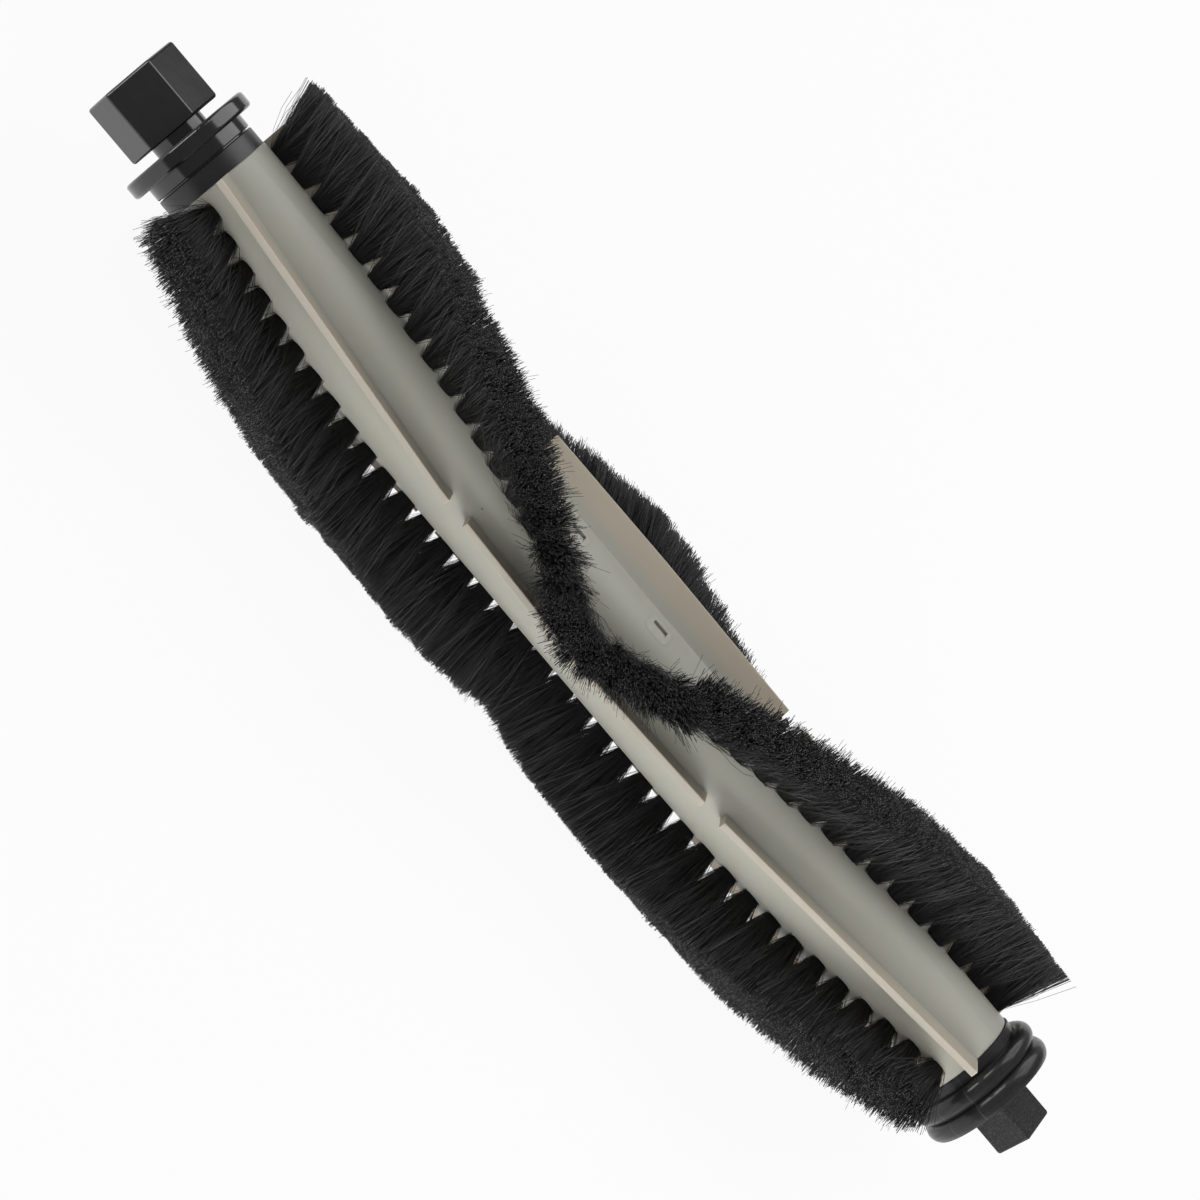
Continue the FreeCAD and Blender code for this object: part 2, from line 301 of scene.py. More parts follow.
@dataclass(frozen=True)
class CorePlastic(Finish):
    """Satin grey moulding: greenish barrel, creamier thin fins with a pale crest, and marks of the mould.
    The fins' browner colour is partly painted light passing through them, their lower flanks keep the
    barrel's colour as painted light at the roots, and recesses are painted in shade.
    """

    barrel: Colour = (0.46, 0.455, 0.395)
    # Fins' tint: the creamy plastic, made browner as painted light passing through the thin walls.
    fin: Colour = (0.53, 0.47, 0.375)
    crest: Colour = (0.51, 0.475, 0.41)
    speck: Colour = (0.10, 0.09, 0.085)
    # Pale colour of the ejector marks and of the oblongs round the pockets.
    pale_mark: Colour = (0.56, 0.565, 0.57)
    # Painted shade: the core is darkened below its surface, in the pockets, their slots and the holes.
    recess_shade: Colour = (0.07, 0.065, 0.055)
    recess_shade_full: float = 6.6 * MM
    recess_shade_start: float = 7.4 * MM
    # The fins' colour begins only above this radius, so their lower flanks keep the barrel's colour as
    # painted light.
    fin_start: float = 8.3 * MM
    fin_full: float = 10.2 * MM
    crest_start: float = 12.19 * MM
    crest_full: float = 12.27 * MM
    speck_place: Colour = (-109.4 * MM, -6.19 * MM, 4.58 * MM)
    speck_radius: float = 0.2 * MM
    fin_gaps: tuple[float, float] = (-111.4 * MM, -60.85 * MM)
    pockets_middle: float = -90.7 * MM
    pockets_half_spacing: float = 8.15 * MM
    pockets_angle: float = -9.0
    pocket_half_length: float = 2.0 * MM
    pocket_half_width: float = 1.65 * MM
    gap_mark_width: tuple[float, float] = (1.2 * MM, 3.2 * MM)
    gap_mark_length: tuple[float, float] = (0.9 * MM, 1.9 * MM)
    flow: Colour = (0.35, 1.0, 1.0)
    cloud_scale: float = 210.0
    grain_scale: float = 5200.0
    mottle_scale: float = 1500.0
    gap_mark_strength: float = 0.12
    patch_strength: float = 0.34
    speck_strength: float = 0.65
    rim_strength: float = 0.1
    gloss: float = 0.36
    relief: float = 0.03 * MM

    def surface(self, graph: Graph) -> dict[str, Value]:
        """Colour by distance from the axis, with painted light on the fins, painted shade in the recesses,
        flow clouds, a fine moulded grain and the mould's marks.
        """
        place = graph.place()
        x, y, z = graph.parts(place)
        radius = graph.radius(y, z)
        height = graph.maths("MAXIMUM", z * SECTOR_COS + graph.maths("ABSOLUTE", y) * SECTOR_SIN, z * -1.0)
        # Fins' colour, starting well above their roots as painted light on the lower flanks, and browner as
        # painted light through the thin walls.
        fin = graph.step(radius, self.fin_start, self.fin_full)
        crest = graph.step(height, self.crest_start, self.crest_full)
        cloud = graph.noise(graph.stretched(place, self.flow), self.cloud_scale, 3.0)
        grain = graph.noise(place, self.grain_scale)
        colour = graph.blend(fin, self.barrel, self.fin)
        colour = graph.blend(crest, colour, self.crest)
        shade = 0.93 + cloud * 0.14
        grey = graph.node("ShaderNodeCombineXYZ", inputs={0: shade, 1: shade, 2: shade})
        colour = graph.blend(1.0, colour, grey, "MULTIPLY")
        # A paler oblong round each pocket with a darker rim, and faint ejector marks in the fins' gaps.
        patch, rim = self.pocket_marks(graph, x, y, z)
        mottle = graph.step(graph.noise(place, self.mottle_scale), 0.34, 0.66)
        gaps = self.gap_marks(graph, x, radius, height) * (1 - fin)
        mark = gaps * self.gap_mark_strength + patch * mottle * self.patch_strength
        colour = graph.blend(mark * (0.6 + cloud * 0.8), colour, self.pale_mark)
        gap = graph.node("ShaderNodeVectorMath", {"operation": "DISTANCE"}, {0: place, 1: self.speck_place},
                         out="Value")
        speck = 1 - graph.step(gap, self.speck_radius * 0.5, self.speck_radius)
        colour = graph.blend(speck * self.speck_strength + rim * self.rim_strength, colour, self.speck)
        # Painted shade in the recesses below the core's surface.
        colour = graph.blend(1 - graph.step(radius, self.recess_shade_full, self.recess_shade_start), colour, self.recess_shade)
        roughness = self.gloss + cloud * 0.1 + grain * 0.06
        raised = grain * 0.2 + rim * 0.8
        return {"Base Color": colour, "Roughness": roughness, "Normal": graph.bump(raised, self.relief)}

    def gap_marks(self, graph: Graph, x: Value, radius: Value, height: Value) -> Value:
        """Faint ejector marks on the barrel in the gaps of the fins.

        Args:
            graph: The material's graph.
            x: Place along the axis.
            radius: Distance from the axis.
            height: Height over the axis towards the nearest of the fins.

        Returns:
            The marks' strength.
        """
        across = graph.maths("MAXIMUM", radius * radius - height * height, 0.0) ** 0.5
        beside = graph.maths("MINIMUM", *(graph.maths("ABSOLUTE", x - gap) for gap in self.fin_gaps))
        near = 1 - graph.step(beside, *self.gap_mark_length)
        return (1 - graph.step(across, *self.gap_mark_width)) * near

    def pocket_marks(self, graph: Graph, x: Value, y: Value, z: Value) -> tuple[Value, Value]:
        """The paler oblong that stands round each locating pocket.

        Args:
            graph: The material's graph.
            x: Place along the axis.
            y: Place across the roller.
            z: Height over the axis.

        Returns:
            The oblong's strength and its rim's.
        """
        angle = math.radians(self.pockets_angle)
        along = graph.maths("ABSOLUTE", x - self.pockets_middle) - self.pockets_half_spacing
        around = y * math.cos(angle) + z * math.sin(angle)
        u, v = along / self.pocket_half_length, around / self.pocket_half_width
        oblong = (u * u) ** 2.0 + (v * v) ** 2.0
        top = graph.step(z, 0.0, 1.0 * MM)
        rim = graph.step(oblong, 0.5, 1.0) * (1 - graph.step(oblong, 1.0, 1.9)) * top
        return (1 - graph.step(oblong, 0.7, 1.6)) * top, rim


@dataclass(frozen=True)
class BlackMoulding(Finish):
    """Black moulded plastic: polished where it turns, matt and grained along one stretch of X.

    Scuffs are drawn out by the factors in drawn, and dull the gloss by scuffed.
    """

    tint: Colour = (0.008, 0.008, 0.009)
    worn: Colour = (0.022, 0.022, 0.023)
    # Paler colour of the parting lines: a painted glint along them.
    parting_line_glint: Colour = (0.07, 0.07, 0.078)
    fleck: Colour = (0.12, 0.12, 0.125)
    polish: float = 0.1
    matt: float = 0.5
    matt_from: float = 1.0
    matt_to: float = 1.1
    grain: float = 0.02 * MM
    drawn: Colour = (0.25, 1.0, 1.0)
    scuffed: float = 0.05
    speckle: float = 0.0
    coat: float = 0.0
    seams: tuple[float, ...] = ()
    seam_width: tuple[float, float] = (0.03 * MM, 0.09 * MM)
    scuff_scale: float = 1500.0
    skin_scale: float = 4200.0
    cloud_scale: float = 260.0

    def surface(self, graph: Graph) -> dict[str, Value]:
        """Faint scuffs all over, thin parting lines drawn paler as a painted glint, and a coarser skin on
        the matt stretch.
        """
        place = graph.place()
        x, y, z = graph.parts(place)
        matt = graph.step(x, self.matt_from, self.matt_to)
        scuff = graph.noise(graph.stretched(place, self.drawn), self.scuff_scale, 4.0, 0.6)
        skin = graph.noise(place, self.skin_scale, 3.0, 0.6)
        cloud = graph.noise(place, self.cloud_scale)
        colour = graph.blend(scuff * (0.35 + matt * 0.5), self.tint, self.worn)
        flecks = graph.step(skin, 0.54, 0.66) * (0.15 + matt * 0.85)
        colour = graph.blend(flecks * self.speckle, colour, self.fleck)
        # Parting lines on one side of the axis, drawn paler as a painted glint.
        for degrees in self.seams:
            angle = math.radians(degrees)
            across = graph.maths("ABSOLUTE", y * math.cos(angle) + z * math.sin(angle))
            facing = graph.step(z * math.cos(angle) - y * math.sin(angle), 0.0, 1.0 * MM)
            line = (1 - graph.step(across, *self.seam_width)) * facing * (1 - matt)
            colour = graph.blend(line * (0.2 + cloud * 0.8), colour, self.parting_line_glint)
        roughness = self.polish + cloud * 0.04 + scuff * self.scuffed + matt * (self.matt - self.polish)
        height = skin * (0.05 + matt * 0.95)
        return {"Base Color": colour, "Roughness": roughness, "Normal": graph.bump(height, self.grain),
                "Coat Weight": (1 - matt) * (0.4 + graph.step(scuff, 0.35, 0.65) * 0.6) * self.coat}


@dataclass(frozen=True)
class Nylon(Finish):
    """Black nylon filament: each strand's greyness differs at random, and its paler strands are partly
    painted glints; some of the filaments' ends are paler as a painted glint, and the roots are painted in
    shade.
    """

    dark: Colour = (0.019, 0.019, 0.0205)
    # Paler strand colour: partly strands paler at random, partly painted glints along them.
    light: Colour = (0.115, 0.113, 0.115)
    # Paler colour of some filament ends: a painted glint.
    end_glint: Colour = (0.20, 0.195, 0.195)
    end_glint_from: float = 0.985
    end_glint_tones: tuple[float, float] = (0.34, 0.46)
    end_glint_strength: float = 0.8
    # Painted shade: strands stay dark towards their roots.
    shaded_root: tuple[float, float] = (0.1, 0.6)
    contrast: float = 3.0
    gloss: float = 0.54

    def surface(self, graph: Graph) -> dict[str, Value]:
        """Greyness by strand with painted glints, a painted glint at some ends and painted shade at the
        roots, from the filaments' own attributes.
        """
        tone = graph.node("ShaderNodeAttribute", {"attribute_name": "tone"}, out="Fac")
        along = graph.node("ShaderNodeAttribute", {"attribute_name": "along"}, out="Fac")
        # Painted glint on the ends of some of the paler strands.
        end = graph.step(along, self.end_glint_from, 1.0) * graph.step(tone, *self.end_glint_tones)
        # Paler strands, partly painted glints, kept dark at the roots as painted shade.
        pale_tone_and_glint = tone ** self.contrast * graph.step(along, *self.shaded_root)
        colour = graph.blend(pale_tone_and_glint, self.dark, self.light)
        colour = graph.blend(end * self.end_glint_strength, colour, self.end_glint)
        return {"Base Color": colour, "Roughness": self.gloss + tone * 0.14}


@dataclass(frozen=True)
class Metal(Finish):
    """Plain metal with fine marks drawn out round the axis or along it."""

    tint: Colour = (0.55, 0.55, 0.55)
    dull: Colour = (0.40, 0.40, 0.40)
    polish: float = 0.28
    drawn: Colour = (1.0, 1.0, 1.0)
    mark_scale: float = 4000.0
    relief: float = 0.004 * MM

    def surface(self, graph: Graph) -> dict[str, Value]:
        """Fine marks in colour, gloss and relief."""
        place = graph.place()
        mark = graph.noise(graph.stretched(place, self.drawn), self.mark_scale, 3.0, 0.6)
        return {"Base Color": graph.blend(mark, self.tint, self.dull), "Roughness": self.polish + mark * 0.2,
                "Normal": graph.bump(mark, self.relief)}


@dataclass(frozen=True)
class Washer(Finish):
    """Unfilled white nylon with a faint grain."""

    tint: Colour = (0.75, 0.74, 0.70)
    shade: Colour = (0.66, 0.65, 0.61)
    grain_scale: float = 2500.0

    def surface(self, graph: Graph) -> dict[str, Value]:
        """Clouded white."""
        grain = graph.noise(graph.place(), self.grain_scale, 3.0)
        return {"Base Color": graph.blend(grain, self.tint, self.shade), "Roughness": 0.4 + grain * 0.15}


TURNED: Colour = (3.0, 0.25, 0.25)
CORE_FINISH = CorePlastic(
    "core_satin_grey",
    (("IOR", 1.5), ("Subsurface Weight", 0.4), ("Subsurface Radius", (1.0, 0.75, 0.5)),
     ("Subsurface Scale", 1.3 * MM)),
)
DRIVE_CAP_FINISH = BlackMoulding(
    "drive_cap_black", (("IOR", 1.36), ("Coat IOR", 1.5), ("Coat Roughness", 0.1)),
    worn=(0.045, 0.045, 0.047), polish=0.28, matt_from=-6.9 * MM, matt_to=-6.6 * MM, drawn=TURNED,
    scuffed=0.2, speckle=0.4, coat=0.55, seams=(58.85, 88.85),
)
IDLE_CAP_FINISH = BlackMoulding(
    "idle_cap_black", (("IOR", 1.58),), polish=0.3, drawn=TURNED, scuffed=0.12, speckle=0.5,
)
BLOCK_FINISH = BlackMoulding(
    "bearing_block_black", (("IOR", 1.7),), polish=0.09, matt=0.11, grain=0.001 * MM,
    matt_from=-170.6 * MM, matt_to=-170.85 * MM,
)
BRISTLE_FINISH = Nylon("bristle_black_nylon", (("IOR", 1.5),))
STEEL_FINISH = Metal("pin_ground_steel", (("Metallic", 1.0),), drawn=(6.0, 0.3, 0.3))
WIRE_FINISH = Metal("anchor_flat_wire", (("Metallic", 1.0),), polish=0.34)
BRONZE_FINISH = Metal("bush_sintered_bronze", (("Metallic", 1.0),), tint=(0.52, 0.34, 0.16),
                      dull=(0.36, 0.23, 0.11), polish=0.42)
WASHER_FINISH = Washer("washer_white_nylon")


def add_piece(name: str, bm: bmesh.types.BMesh, body: Body,
              material: bpy.types.Material) -> bpy.types.Object:
    """Makes a piece of a finished mesh and sets it on its body.

    Args:
        name: The piece's name.
        bm: Its mesh in the frame, which is freed.
        body: The CAD body that it rides on.
        material: Its material.

    Returns:
        The piece's object, at the origin.
    """
    mesh = bpy.data.meshes.new(name)
    bm.to_mesh(mesh)
    bm.free()
    mesh.materials.append(material)
    piece = bpy.data.objects.new(name, mesh)
    bpy.context.scene.collection.objects.link(piece)
    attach(piece, body.value)
    mesh.calc_loop_triangles()
    LOG.info("%s: %d triangles on %s", name, len(mesh.loop_triangles), body.value)
    return piece


def smoothstep(value: float, start: float, end: float) -> float:
    """A smooth rise from 0 at start to 1 at end, for numbers."""
    share = min(1.0, max(0.0, (value - start) / (end - start)))
    return share * share * (3.0 - 2.0 * share)


@dataclass(frozen=True)
class RowSet:
    """How one row's filaments have set: their lean at the row's point and at its ends, and their trim.

    A tilt at the point leans towards +X, one at an end leans outwards, and a turn leans towards larger
    angles round the axis, all in degrees. The point's span is counted in tufts. A trim is the radius that
    the tips reach.
    """

    point_tilt: float = 0.0
    point_turn: float = 0.0
    point_span: float = 6.0
    point_trim: float = 19.3 * MM
    middle_trim: float = 19.3 * MM
    end_tilt: float = 0.0
    end_turn: float = 0.0
    bearing_trim: float = 19.3 * MM
    drive_trim: float = 19.3 * MM


@dataclass(frozen=True)
class StrandKind:
    """One kind of filament in a tuft: its lay, how many there are, their make, and how far they wander.

    Strays and wisps lie on the tuft's flanks, drawn paler as painted glints, and cross their neighbours. The
    last tuft at a row's bearing end lets its wisps spring out. The heart is the tight mass inside the lower
    part of a tuft.
    """

    lay: Lay
    count: int
    rings: int
    root_share: float
    radius: float
    scatter: float = 0.0
    bow: float = 0.0
    sides: int = 3


@dataclass
class Strand:
    """One filament of a tuft: where it starts and ends in the tuft's own frame, its bow, lean and greyness,
    whose paler values are partly painted glints.

    Low and high are the shares of that way between which there is a mesh.
    """

    kind: StrandKind
    root: Vector
    tip: Vector
    bow: Vector
    tilt: float
    turn: float
    tone: float
    low: float = 0.0
    high: float = 1.0


@dataclass(frozen=True)
class Lock:
    """Filaments that cling together.

    U and v are their spot in a tuft's section, from -1 to 1, and proud is how far their tips stand out.
    """

    u: float
    v: float
    proud: float


@dataclass(frozen=True)
class TuftSet:
    """How one tuft has set: its lean in degrees, its trimmed radius and its locks.

    Outward is the side along X of the row's end that the tuft stands at, or 0 inside the row.
    """

    tilt: float
    turn: float
    trim: float
    outward: int
    locks: tuple[Lock, ...]


@dataclass
class BristleRows:
    """The three chevron rows of bristle tufts, each tuft a bundle of filaments in an oblong hole."""

    tufts_per_limb: int = 18
    pitch: float = 4.0 * MM
    sweep: float = 100.0
    row_step: float = 120.0
    core_radius: float = 7.7 * MM
    plug_floor: float = 4.2 * MM
    plug_sink: float = 0.05 * MM
    root_radius: float = 7.3 * MM
    foot_half_length: float = 1.22 * MM
    foot_half_width: float = 0.82 * MM
    fan_half_length: float = 4.1 * MM
    fan_half_width: float = 3.3 * MM
    fan_bulge: float = 0.85
    tip_radius: float = 19.3 * MM
    end_fade: float = 24.0 * MM
    heart_share: float = 0.72
    shell_reach: float = 0.72
    locks: int = 16
    lock_pull: float = 0.2
    lock_stand: float = 0.2 * MM
    tilt_scatter: float = 2.2
    turn_scatter: float = 1.2
    tip_scatter: float = 0.07 * MM
    side_scatter: float = 0.4 * MM
    floor_scatter: float = 0.3 * MM
    floor_splay: float = 0.6
    # The paler strands are partly painted glints: the palest laid strand, and the strays, which are drawn
    # paler still.
    palest_laid: float = 0.62
    stray_tones: tuple[float, float] = (0.4, 0.95)
    stray_sides: tuple[float, float] = (0.75, 0.98)
    stray_lengths: tuple[float, float] = (-0.6 * MM, 0.0)
    wisp_reach: tuple[float, float] = (-1.2 * MM, 1.0 * MM)
    wisp_bow: tuple[float, float] = (0.1 * MM, 0.8 * MM)
    wisp_lengths: tuple[float, float] = (-3.5 * MM, -0.3 * MM)
    seed: int = 37
    kinds: tuple[StrandKind, ...] = (
        StrandKind(Lay.HEART, 1, 4, 0.4, 1.8 * MM, sides=12),
        StrandKind(Lay.BENT, 270, 3, 0.7, 0.036 * MM, 0.6 * MM, 0.2 * MM),
        StrandKind(Lay.PACKED, 760, 2, 0.0, 0.049 * MM, 0.5 * MM),
        StrandKind(Lay.STRAY, 120, 3, 0.8, 0.03 * MM, 1.1 * MM, 0.35 * MM),
        StrandKind(Lay.WISP, 10, 4, 0.8, 0.034 * MM, 1.3 * MM, 0.45 * MM),
    )
    sets: tuple[RowSet, ...] = (
        RowSet(point_turn=8.0, point_span=5.0, middle_trim=18.3 * MM, end_tilt=-2.0, bearing_trim=17.6 * MM,
               drive_trim=17.6 * MM),
        RowSet(point_turn=-8.0, point_span=10.0, end_turn=8.0, end_tilt=-2.0, bearing_trim=19.6 * MM,
               drive_trim=18.4 * MM),
        RowSet(point_tilt=-20.0, point_span=14.0, point_trim=17.4 * MM),
    )
    bundle_mesh: bpy.types.Mesh | None = field(default=None, init=False)
    plug_mesh: bpy.types.Mesh | None = field(default=None, init=False)
    strand_verts: dict[StrandKind, int] = field(default_factory=dict, init=False)

    def build(self) -> None:
        """Makes the filaments of every limb, one piece each, in place of its tuft solids."""
        self.bundle_mesh = self.bundle()
        self.plug_mesh = self.plug()
        material = BRISTLE_FINISH.material()
        for row in range(1, len(self.sets) + 1):
            for limb in Limb:
                piece = add_piece(f"filaments_row_{row}_{limb.word}_limb", self.limb(row, limb), Body.ROLLER,
                                  material)
                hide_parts(f"bristles_row_{row}_{limb.word}_limb")
        for mesh in (self.bundle_mesh, self.plug_mesh):
            bpy.data.meshes.remove(mesh)

    def blank(self) -> bmesh.types.BMesh:
        """An empty mesh with the layers that the filaments' finish reads."""
        bm = bmesh.new()
        bm.verts.layers.float.new("along")
        bm.verts.layers.float.new("tone")
        return bm

    def bundle(self) -> bpy.types.Mesh:
        """Straight filaments of unit height, one for each strand of a tuft, all in the same place.

        Returns:
            A mesh that holds the strands one after another, kind by kind.
        """
        bm = self.blank()
        for kind in self.kinds:
            single = self.filament(kind)
            self.strand_verts[kind] = len(single.vertices)
            for _ in range(kind.count):
                bm.from_mesh(single)
            bpy.data.meshes.remove(single)
        bundle = bpy.data.meshes.new("bundle")
        bm.to_mesh(bundle)
        bm.free()
        return bundle

    def filament(self, kind: StrandKind) -> bpy.types.Mesh:
        """One straight filament of unit height about +Z.

        Args:
            kind: Its make. A root share of 0 draws the root out to a point.

        Returns:
            A closed mesh.
        """
        bm = self.blank()
        bmesh.ops.create_cone(bm, cap_ends=True, segments=kind.sides, radius1=kind.root_share, radius2=1.0,
                              depth=1.0, matrix=Matrix.Translation((0.0, 0.0, 0.5)))
        if kind.rings > 2:
            upright = [edge for edge in bm.edges if abs(edge.verts[0].co.z - edge.verts[1].co.z) > 0.5]
            bmesh.ops.subdivide_edges(bm, edges=upright, cuts=kind.rings - 2, use_grid_fill=True)
        slim = Matrix.Diagonal((kind.radius, kind.radius, 1.0, 1.0))
        bmesh.ops.transform(bm, matrix=slim, verts=bm.verts)
        for face in bm.faces:
            face.smooth = True
        mesh = bpy.data.meshes.new("filament")
        bm.to_mesh(mesh)
        bm.free()
        return mesh

    def plug(self) -> bpy.types.Mesh:
        """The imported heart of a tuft, which fills its hole below the filaments.

        Returns:
            A mesh about +Z, in the tuft's own frame.
        """
        bm = self.blank()
        top = self.core_radius - self.plug_sink
        shape = Matrix.Diagonal((self.foot_half_length, self.foot_half_width, top - self.plug_floor, 1.0))
        middle = Matrix.Translation((0.0, 0.0, (top + self.plug_floor) / 2))
        bmesh.ops.create_cone(bm, cap_ends=True, segments=12, radius1=1.0, radius2=1.0, depth=1.0,
                              matrix=middle @ shape)
        mesh = bpy.data.meshes.new("plug")
        bm.to_mesh(mesh)
        bm.free()
        return mesh

    def limb(self, row: int, limb: Limb) -> bmesh.types.BMesh:
        """All the filaments of one limb.

        Args:
            row: The row's number, from 1.
            limb: Which half of the row.

        Returns:
            The limb's mesh in the frame.
        """
        bm = bmesh.new()
        draw = random.Random(self.seed * row + limb.value)
        first = 1 if limb is Limb.BEARING else 0
        for step in range(first, self.tufts_per_limb + 1):
            angle = (row - 1) * self.row_step + self.sweep * (0.5 - step / self.tufts_per_limb)
            place = MID_CORE.x + limb.value * step * self.pitch
            strands = self.laid_out(self.tuft_set(self.sets[row - 1], step, limb, draw), draw)
            tuft = self.tuft(strands, place, math.radians(angle), draw)
            bm.from_mesh(tuft)
            bpy.data.meshes.remove(tuft)
        return bm

    def tuft(self, strands: list[Strand], place: float, angle: float, draw: random.Random) -> bpy.types.Mesh:
        """One tuft in its place.

        Args:
            strands: Its filaments.
            place: Where it stands along X.
            angle: Its angle round the axis, in radians.
            draw: The limb's random numbers.

        Returns:
            The tuft's mesh in the frame.
        """
        bm = bmesh.new()
        bm.from_mesh(self.bundle_mesh)
        tone = bm.verts.layers.float["tone"]
        along = bm.verts.layers.float["along"]
        cosine, sine = math.cos(angle), math.sin(angle)
        verts = iter(list(bm.verts))
        for strand in strands:
            floor = FLOOR_Z + draw.uniform(0.0, self.floor_scatter)
            for vert in islice(verts, self.strand_verts[strand.kind]):
                share = strand.low + (strand.high - strand.low) * vert.co.z
                swell = share * (1.0 - share) * 4.0
                spread = share ** self.fan_bulge
                x = strand.root.x + (strand.tip.x - strand.root.x) * spread + strand.bow.x * swell
                y = strand.root.y + (strand.tip.y - strand.root.y) * spread + strand.bow.y * swell
                rise = (strand.tip.z - strand.root.z) * share
                bend = math.sqrt(share)
                x += rise * math.sin(strand.tilt * bend) + vert.co.x
                y -= rise * math.sin(strand.turn * bend) - vert.co.y
                z = strand.root.z + rise * math.cos(strand.tilt * bend) * math.cos(strand.turn * bend)
                across = y * cosine - z * sine
                height = y * sine + z * cosine
                if height < floor:
                    across += math.copysign(self.floor_splay * (floor - height), across)
                    height = floor
                vert[tone] = strand.tone
                vert[along] = share
                vert.co = (place + x, across, height)
        count = len(bm.verts)
        bm.from_mesh(self.plug_mesh)
        bm.verts.ensure_lookup_table()
        turn = Matrix.Translation((place, 0.0, 0.0)) @ Matrix.Rotation(angle, 4, "X")
        bmesh.ops.transform(bm, matrix=turn, verts=bm.verts[count:])
        mesh = bpy.data.meshes.new("tuft")
        bm.to_mesh(mesh)
        bm.free()
        return mesh

    def tuft_set(self, row_set: RowSet, step: int, limb: Limb, draw: random.Random) -> TuftSet:
        """How one tuft has set, from its place in the row.

        Args:
            row_set: How the row has set.
            step: The tuft's number from the row's point.
            limb: The limb that it stands in.
            draw: The limb's random numbers.

        Returns:
            The tuft's lean, trim and locks.
        """
        from_end = (self.tufts_per_limb - step) * self.pitch
        inner = smoothstep(from_end, 0.0, self.end_fade)
        outer = 1.0 - smoothstep(from_end, 0.0, 2.0 * self.end_fade)
        near_point = 1.0 - smoothstep(step, row_set.point_span * 0.4, row_set.point_span)
        swell = math.sin(math.pi * step / self.tufts_per_limb) ** 2
        trim = self.tip_radius - (self.tip_radius - row_set.point_trim) * near_point
        trim -= (self.tip_radius - row_set.middle_trim) * swell
        end_trim = row_set.bearing_trim if limb is Limb.BEARING else row_set.drive_trim
        trim = end_trim + (trim - end_trim) * inner
        tilt = row_set.point_tilt * near_point + row_set.end_tilt * outer * limb.value
        tilt += draw.gauss(0.0, self.tilt_scatter)
        turn = row_set.point_turn * near_point + row_set.end_turn * outer
        turn += draw.gauss(0.0, self.turn_scatter)
        locks = tuple(self.lock(draw) for _ in range(self.locks))
        return TuftSet(tilt, turn, trim, limb.value if step == self.tufts_per_limb else 0, locks)

    def lock(self, draw: random.Random) -> Lock:
        """A lock at a random spot of a tuft's section."""
        reach, swing = math.sqrt(draw.random()), draw.uniform(0.0, math.tau)
        return Lock(reach * math.cos(swing), reach * math.sin(swing), draw.gauss(0.0, self.lock_stand))

    def laid_out(self, tuft_set: TuftSet, draw: random.Random) -> list[Strand]:
        """Roots, tips and leans of a tuft's filaments.

        Args:
            tuft_set: How the tuft has set.
            draw: The limb's random numbers.

        Returns:
            One strand for each filament, kind by kind.
        """
        golden = math.pi * (3.0 - math.sqrt(5.0))
        strands = []
        for kind in self.kinds:
            for number in range(kind.count):
                reach = math.sqrt((number + 0.5) / kind.count)
                wisp = kind.lay is Lay.WISP and tuft_set.outward < 0
                strands.append(self.strand(kind, reach, number * golden, wisp, tuft_set, draw))
        return strands

    def strand(self, kind: StrandKind, reach: float, swing: float, wisp: bool, tuft_set: TuftSet,
               draw: random.Random) -> Strand:
        """Where one filament starts and ends.

        Args:
            kind: Its make.
            reach: How far it stands from the tuft's middle, from 0 to 1.
            swing: The side that it stands on, as an angle.
            wisp: Whether it has sprung out of the row's end.
            tuft_set: How the tuft has set.
            draw: The limb's random numbers.

        Returns:
            The filament.
        """
        tilt, turn = math.radians(tuft_set.tilt), math.radians(tuft_set.turn)
        if kind.lay is Lay.HEART:
            foot, crown = Vector((0.0, 0.0, self.root_radius)), Vector((0.0, 0.0, tuft_set.trim))
            return Strand(kind, foot, crown, Vector(), tilt, turn, 0.0, high=self.heart_share)
        u, v = reach * math.cos(swing), reach * math.sin(swing)
        tone = draw.random() * self.palest_laid
        drift = draw.gauss(0.0, kind.scatter)
        bow = Vector((draw.gauss(0.0, kind.bow), draw.gauss(0.0, kind.bow), 0.0))
        lock = min(tuft_set.locks, key=lambda spot: (spot.u - u) ** 2 + (spot.v - v) ** 2)
        pull = self.lock_pull
        length = tuft_set.trim + lock.proud + draw.gauss(0.0, self.tip_scatter)
        if kind.lay in (Lay.STRAY, Lay.WISP):
            u, v = draw.uniform(-1.0, 1.0), math.copysign(draw.uniform(*self.stray_sides), v)
            # Strays drawn paler as painted glints.
            tone = draw.uniform(*self.stray_tones)
            pull = 0.0
            drift = drift if tuft_set.outward == 0 else -abs(drift) * tuft_set.outward
            length += draw.uniform(*self.stray_lengths)
        root = Vector((u * self.foot_half_length, v * self.foot_half_width, self.root_radius))
        tip_x = (u + (lock.u - u) * pull) * self.fan_half_length + drift
        tip_y = (v + (lock.v - v) * pull) * self.fan_half_width
        tip_y += draw.gauss(0.0, min(kind.scatter, self.side_scatter))
        if wisp:
            tip_x = tuft_set.outward * (self.fan_half_length + draw.uniform(*self.wisp_reach))
            bow.x = tuft_set.outward * draw.uniform(*self.wisp_bow)
            length += draw.uniform(*self.wisp_lengths)
        tip_z = math.sqrt(max(length * length - tip_y * tip_y, self.core_radius ** 2))
        inner = kind.lay is Lay.PACKED and reach < self.shell_reach
        return Strand(kind, root, Vector((tip_x, tip_y, tip_z)), bow, tilt, turn, tone,
                      low=self.heart_share if inner else 0.0)


